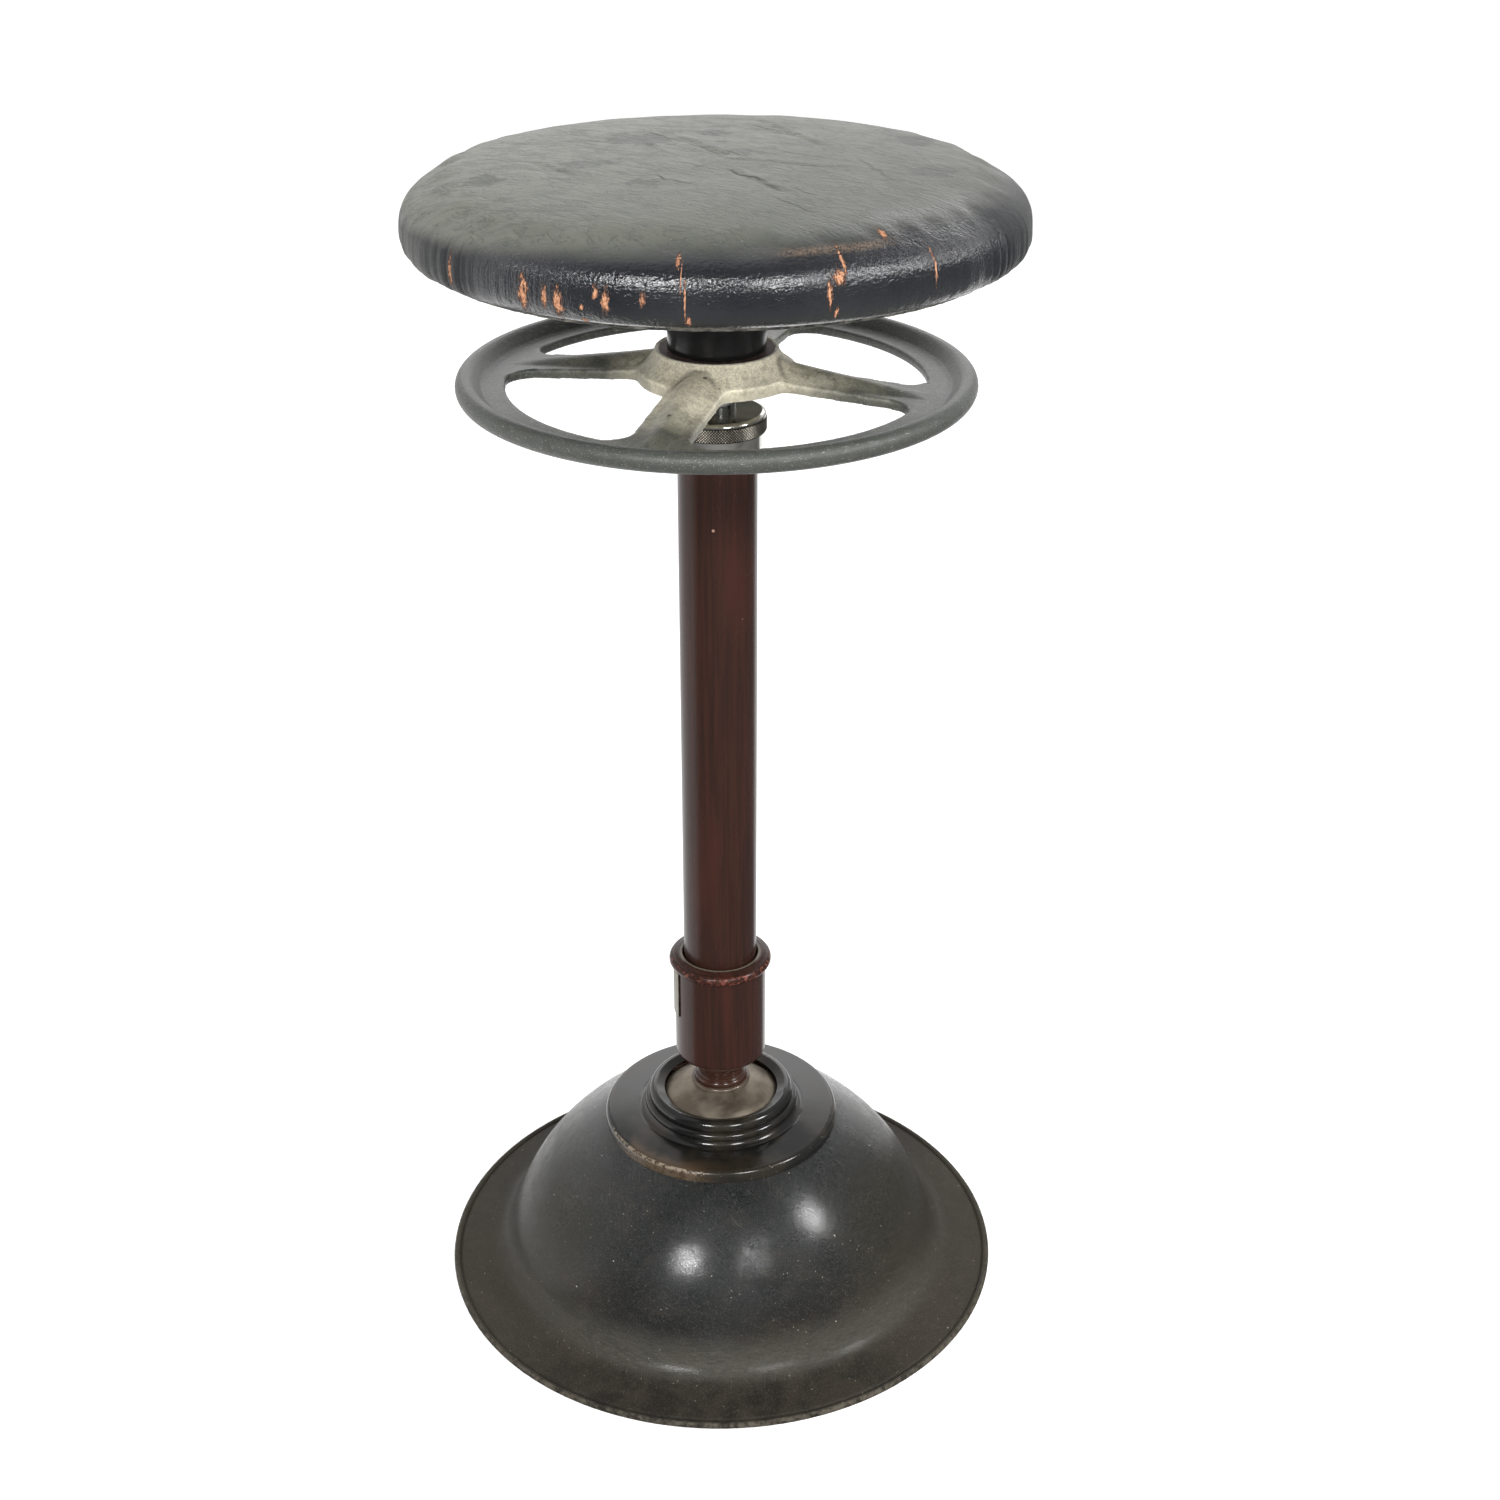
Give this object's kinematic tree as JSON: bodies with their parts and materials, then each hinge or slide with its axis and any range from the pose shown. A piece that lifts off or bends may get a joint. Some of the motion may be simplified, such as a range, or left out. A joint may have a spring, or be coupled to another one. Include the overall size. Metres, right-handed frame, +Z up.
{
  "type": "dental stool",
  "caption": "Round padded leather stool on a pipe column, its screw spindle raised by a cast hand wheel, on a ball joint in a heavy bell-shaped base.",
  "frame": {"origin": "middle of the round foot, on the floor", "axes": "+Z up along the column, +X to the stool's right and -Y to the front as pictured"},
  "size_m": [0.38, 0.3798, 0.7652],
  "materials": {
    "base_enamel": "black enamel, worn satin, scratched, rim worn brown",
    "cap_enamel": "gloss black enamel, worn to grey metal at the edge",
    "boss_enamel": "gloss black enamel",
    "raw_iron": "as cast, oiled",
    "ball_metal": "dark brown enamel, rubbed to bare metal on the ball",
    "fibre": "vulcanised fibre, matt",
    "washer_fibre": "vulcanised fibre, worn brown",
    "spring_steel": "oil-blackened spring steel",
    "steel": "plain bright steel",
    "nickel": "bright nickel plate, slightly dulled",
    "column_enamel": "mahogany-grained enamel, satin",
    "ferrule_enamel": "mahogany-grained enamel, satin, worn on the bead",
    "brass": "machined",
    "cast_alloy": "dull cast alloy, brushed on the web",
    "plywood": "plain plywood",
    "padding": "hair and felt padding",
    "seat_leather": "black leather, crown dulled, side glossy, cracked to tan",
    "lining_cloth": "black cotton, matt"
  },
  "bodies": {
    "base": {"bell_cover": "base_enamel", "ballast_casting": "raw_iron", "socket_cap": "cap_enamel", "pressure_cup": "raw_iron", "disc_springs": "spring_steel", "spring_plate": "steel", "plate_screws": "steel"},
    "rocker_fore_aft": {"upper_liner": "fibre"},
    "rocker_sideways": {"lower_liner": "fibre"},
    "column": {"ball_stud": "ball_metal", "column_tube": "column_enamel", "column_pin": "steel", "column_ferrule": "ferrule_enamel", "ferrule_screw": "steel", "knurled_collar": "nickel", "inner_tube": "steel", "guide_bush": "brass", "lift_nut": "brass"},
    "lift": {"thrust_washer": "washer_fibre"},
    "wheel": {"hand_wheel": "cast_alloy", "wheel_pin": "steel", "spindle": "nickel", "spindle_stop": "steel", "stop_pin": "steel", "retaining_washer": "steel", "retaining_nut": "steel"},
    "seat": {"seat_boss": "boss_enamel", "boss_screws": "steel", "seat_board": "plywood", "seat_padding": "padding", "seat_cover": "seat_leather", "underside_lining": "lining_cloth", "upholstery_tacks": "steel"}
  },
  "joints": [
    {"name": "tilt_fore_aft", "type": "hinge", "parent": "base", "child": "rocker_fore_aft", "pos_m": [0, 0, 0.07994], "axis": [1, 0, 0], "range_deg": [-12, 12]},
    {"name": "tilt_sideways", "type": "hinge", "parent": "rocker_fore_aft", "child": "rocker_sideways", "pos_m": [0, 0, 0.07994], "axis": [0, 1, 0], "range_deg": [-12, 12]},
    {"name": "column_swivel", "type": "hinge", "parent": "rocker_sideways", "child": "column", "pos_m": [0, 0, 0.07994], "axis": [0, 0, 1], "continuous": true},
    {"name": "seat_height", "type": "slide", "parent": "column", "child": "lift", "axis": [0, 0, 1], "range_m": [-0.01, 0.14]},
    {"name": "wheel_turn", "type": "hinge", "parent": "lift", "child": "wheel", "pos_m": [0, 0, 0.6394], "axis": [0, 0, 1], "range_deg": [-566, 7936]},
    {"name": "seat_swivel", "type": "hinge", "parent": "lift", "child": "seat", "pos_m": [0, 0, 0.6594], "axis": [0, 0, 1], "continuous": true}
  ],
  "couplings": [
    {"joint": "seat_height", "follows": "wheel_turn", "m_per_rad": 0.0010106}
  ]
}
